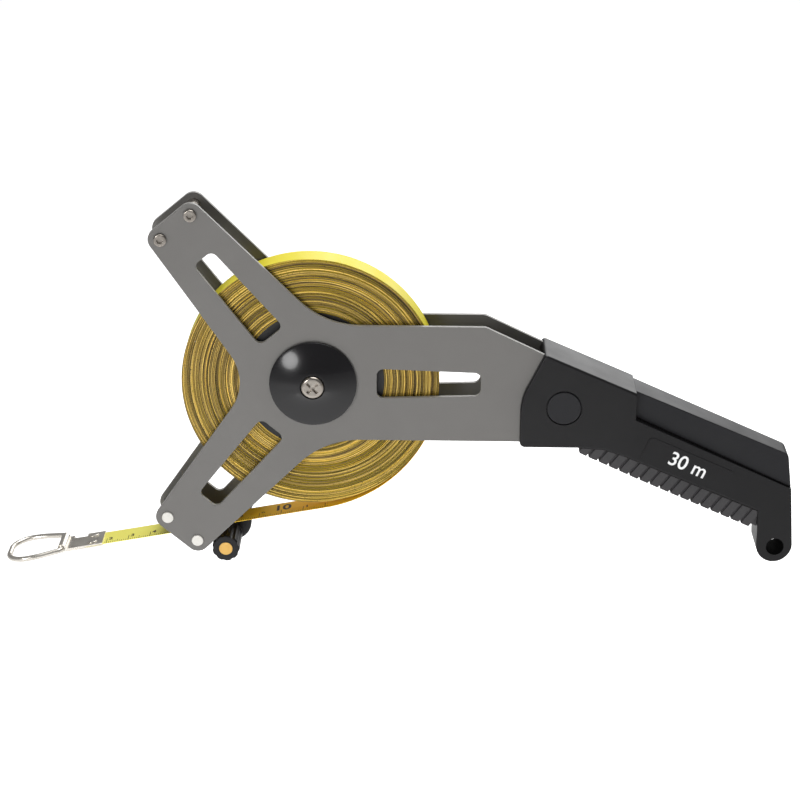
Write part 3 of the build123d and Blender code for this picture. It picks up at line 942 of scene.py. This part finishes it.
# ------------------------------------------------------------------ studio
@dataclass
class Studio:
    """White floor and backdrop, soft lights and the camera."""

    camera: Vector = field(default_factory=lambda: Vector((-0.1106, -1.00515, 0.3880)))
    pitch: float = math.radians(20.31)
    yaw: float = math.radians(-0.66)
    roll: float = math.radians(0.417)
    lens: float = 109.5
    ambient: float = 0.20
    floor_size: float = 6.0
    floor_drop: float = 0.25
    floor_glow: tuple[float, float] = (0.16, 0.8)
    aim_height: float = 0.01

    def build(self) -> None:
        """Makes the camera, the lights, the world and the floor."""
        self.add_camera()
        self.add_world()
        self.add_floor()
        self.add_light("key", (-0.80, -1.02, 0.30), 0.46, 4.2)
        self.add_light("low", (-0.20, -0.68, -0.22), 0.5, 3.4, mirrored=False)
        self.add_light("top", (0.05, 0.15, 1.15), 1.0, 10.0)
        self.add_light("back", (0.2, 1.1, 0.55), 1.0, 5.5)

    def add_camera(self) -> None:
        """Makes the camera at the fitted place and angles."""
        data = bpy.data.cameras.new("camera")
        data.lens = self.lens
        data.sensor_width = 36.0
        data.clip_start = 0.01
        camera = bpy.data.objects.new("camera", data)
        bpy.context.scene.collection.objects.link(camera)
        aim = Euler((math.pi / 2 - self.pitch, 0, -self.yaw), "XYZ").to_matrix()
        turned = aim @ Matrix.Rotation(self.roll, 3, "Z")
        camera.matrix_world = Matrix.Translation(self.camera) @ turned.to_4x4()
        bpy.context.scene.camera = camera

    def add_world(self) -> None:
        """Lights the scene evenly from a white world."""
        world = bpy.data.worlds.new("studio")
        world.use_nodes = True
        back = world.node_tree.nodes["Background"]
        back.inputs["Color"].default_value = (1, 1, 1, 1)
        graph = Graph(world.node_tree)
        seen = graph.node("LightPath").outputs["Is Camera Ray"]
        graph.put(back.inputs["Strength"], graph.remap(seen, 0.0, 1.0, self.ambient, 1.0))
        bpy.context.scene.world = world
        bpy.context.scene.view_settings.view_transform = "Standard"

    def add_floor(self) -> None:
        """Makes a plain pale floor well under the object."""
        mesh = bmesh.new()
        bmesh.ops.create_grid(mesh, x_segments=1, y_segments=1, size=self.floor_size)
        bmesh.ops.translate(mesh, verts=mesh.verts, vec=(0, 0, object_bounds()[0].z - self.floor_drop))
        data = bpy.data.meshes.new("floor")
        mesh.to_mesh(data)
        mesh.free()
        floor = bpy.data.objects.new("floor", data)
        bpy.context.scene.collection.objects.link(floor)
        material = bpy.data.materials.new("pale_floor")
        material.use_nodes = True
        shader = material.node_tree.nodes["Principled BSDF"]
        graph = Graph(material.node_tree)
        seen = graph.node("LightPath").outputs["Is Camera Ray"]
        graph.feed(shader, Base_Color=(0.9, 0.9, 0.9, 1), Roughness=1.0, Specular_IOR_Level=0.0)
        glow = graph.remap(seen, 0.0, 1.0, *self.floor_glow)
        graph.feed(shader, Emission_Color=(1, 1, 1, 1), Emission_Strength=glow)
        data.materials.append(material)
        floor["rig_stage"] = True

    def add_light(self, name: str, place: tuple[float, float, float], size: float, power: float,
                  mirrored: bool = True) -> None:
        """Adds a soft round light that points at the object.

        Args:
            name: the light's name.
            place: where it stands.
            size: its diameter.
            power: its strength in watts.
            mirrored: whether glossy surfaces show it.
        """
        data = bpy.data.lights.new(name, "AREA")
        data.shape = "DISK"
        data.size = size
        data.energy = power
        light = bpy.data.objects.new(name, data)
        bpy.context.scene.collection.objects.link(light)
        light.location = place
        light.visible_glossy = mirrored
        aim = Vector((0, 0, self.aim_height)) - Vector(place)
        light.rotation_euler = aim.to_track_quat("-Z", "Y").to_euler()


def main() -> None:
    """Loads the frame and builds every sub-assembly around it."""
    logging.basicConfig(level=logging.INFO, format="%(name)s: %(message)s")
    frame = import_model()
    for make in (grain_group, brush_group, turns_group):
        make()
    nodes = frame["nodes"]
    low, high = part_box("hub_cap")
    hub = Vector(((low.x + high.x) / 2, 0.0, (low.z + high.z) / 2))
    Studio().build()
    SidePlates(nodes).build()
    Reel(nodes, hub).build()
    FreeTape(nodes, hub).build()
    Grip(nodes).build()


if __name__ == "__main__":
    main()
